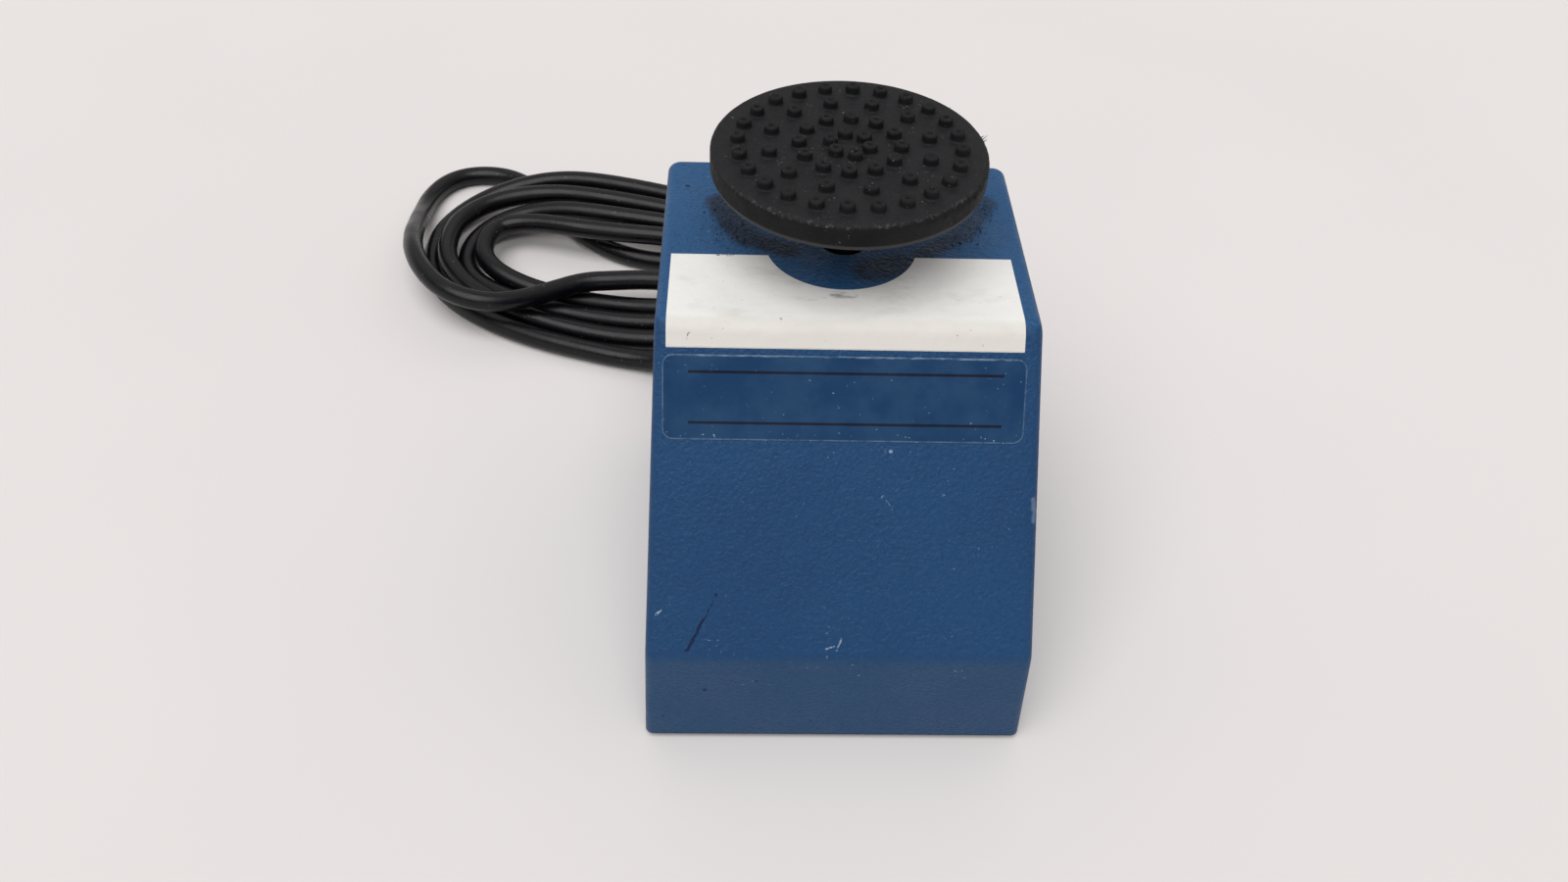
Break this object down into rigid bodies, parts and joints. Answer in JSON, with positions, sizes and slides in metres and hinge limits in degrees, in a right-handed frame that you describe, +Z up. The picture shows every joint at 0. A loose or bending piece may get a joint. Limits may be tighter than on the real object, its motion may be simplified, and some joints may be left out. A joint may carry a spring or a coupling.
{
  "type": "vortex mixer",
  "caption": "Touch-operated bench vortex mixer: metal case with a sloping front, nubbed round rubber head on an orbiting eccentric drive, and its mains lead in a hank.",
  "frame": {"origin": "on the table under the middle of the case", "axes": "+X to the right seen from the front, +Y from the sloping front to the rear wall, +Z up"},
  "size_m": [0.2348, 0.3046, 0.1494],
  "materials": {
    "case_paint": "orange peel, satin",
    "plated_steel": "zinc plated",
    "sheet_steel": "rolled",
    "lamination_steel": "stacked laminations, varnished",
    "bearing_steel": "ground",
    "cast_aluminium": "as cast",
    "cast_iron": "machined",
    "copper": "enamelled copper",
    "bronze": "sintered bronze",
    "brass": "bright",
    "black_rubber": "matt, moulded",
    "black_cord": "satin jacket",
    "black_nylon": "moulded",
    "head_casting": "moulded",
    "white_nylon": "moulded",
    "ivory_plastic": "moulded",
    "label_film": "white vinyl film",
    "nameplate_film": "tinted film",
    "wire_insulation": "insulated wire"
  },
  "bodies": {
    "case": {"base_plate": "plated_steel", "base_screws": "plated_steel", "boot_ring": "plated_steel", "boot_screws": "plated_steel", "cord_hank": "black_cord", "cord_lead": "black_cord", "cord_tail": "black_cord", "feet": "black_rubber", "ground_lug": "plated_steel", "ground_screw": "plated_steel", "housing": "case_paint", "inner_jacket": "black_cord", "instruction_label": "label_film", "motor_wires": "wire_insulation", "nameplate": "nameplate_film", "plate_screws": "plated_steel", "plug_blades": "brass", "plug_body": "black_cord", "post_clips": "plated_steel", "rear_label": "label_film", "relief_nut": "black_nylon", "return_springs": "plated_steel", "sealing_boot": "black_rubber", "strain_relief": "black_rubber", "supply_wires": "wire_insulation", "suspension_posts": "plated_steel", "switch_body": "black_nylon", "switch_bracket": "sheet_steel", "switch_pin": "plated_steel", "switch_screws": "plated_steel", "switch_terminals": "brass", "switch_wires": "wire_insulation", "terminal_block": "ivory_plastic"},
    "carriage": {"carriage_plate": "sheet_steel", "carriage_bushes": "white_nylon", "stator_core": "lamination_steel", "coil_core": "lamination_steel", "coil_bobbin": "white_nylon", "coil_winding": "copper", "shading_rings": "copper", "upper_bracket": "sheet_steel", "lower_bracket": "sheet_steel", "shaft_sleeves": "bronze", "motor_screws": "plated_steel", "motor_nuts": "plated_steel"},
    "rotor": {"rotor_core": "lamination_steel", "rotor_end_rings": "cast_aluminium", "rotor_shaft": "plated_steel", "eccentric_hub": "cast_iron", "eccentric_set_screw": "plated_steel", "bearing_inner_race": "bearing_steel", "bearing_clip": "plated_steel"},
    "drive_cup": {"drive_cup": "black_nylon", "bearing_outer_race": "bearing_steel", "bearing_balls": "bearing_steel"},
    "head": {"head_stem": "plated_steel", "head_platform": "head_casting", "platform_cover": "black_rubber"},
    "switch_lever": {"switch_lever": "plated_steel"},
    "switch_plunger": {"switch_plunger": "black_nylon"}
  },
  "joints": [
    {"name": "head_press", "type": "slide", "parent": "case", "child": "carriage", "axis": [0, 0, -1], "range_m": [0, 0.003], "stiffness_N_per_m": 2500, "springref_m": -0.01, "deforming": ["return_springs", "sealing_boot", "motor_wires"]},
    {"name": "rotor_spin", "type": "hinge", "parent": "carriage", "child": "rotor", "pos_m": [0, 0.021, 0.045], "axis": [0, 0, 1], "continuous": true},
    {"name": "cup_orbit", "type": "hinge", "parent": "rotor", "child": "drive_cup", "pos_m": [0, 0.023, 0.085], "axis": [0, 0, 1], "continuous": true},
    {"name": "head_lift", "type": "slide", "parent": "drive_cup", "child": "head", "axis": [0, 0, 1], "range_m": [0, 0.026]},
    {"name": "lever_tilt", "type": "hinge", "parent": "case", "child": "switch_lever", "pos_m": [-0.017, -0.04875, 0.0197], "axis": [0, -1, 0], "range_deg": [0, 12.4]},
    {"name": "plunger_push", "type": "slide", "parent": "case", "child": "switch_plunger", "axis": [0, 0, -1], "range_m": [0, 0.00078]}
  ],
  "couplings": [
    {"joint": "cup_orbit", "follows": "rotor_spin", "ratio": -1},
    {"joint": "lever_tilt", "follows": "head_press", "rad_per_m": 71.97},
    {"joint": "plunger_push", "follows": "head_press", "ratio": 0.254}
  ]
}
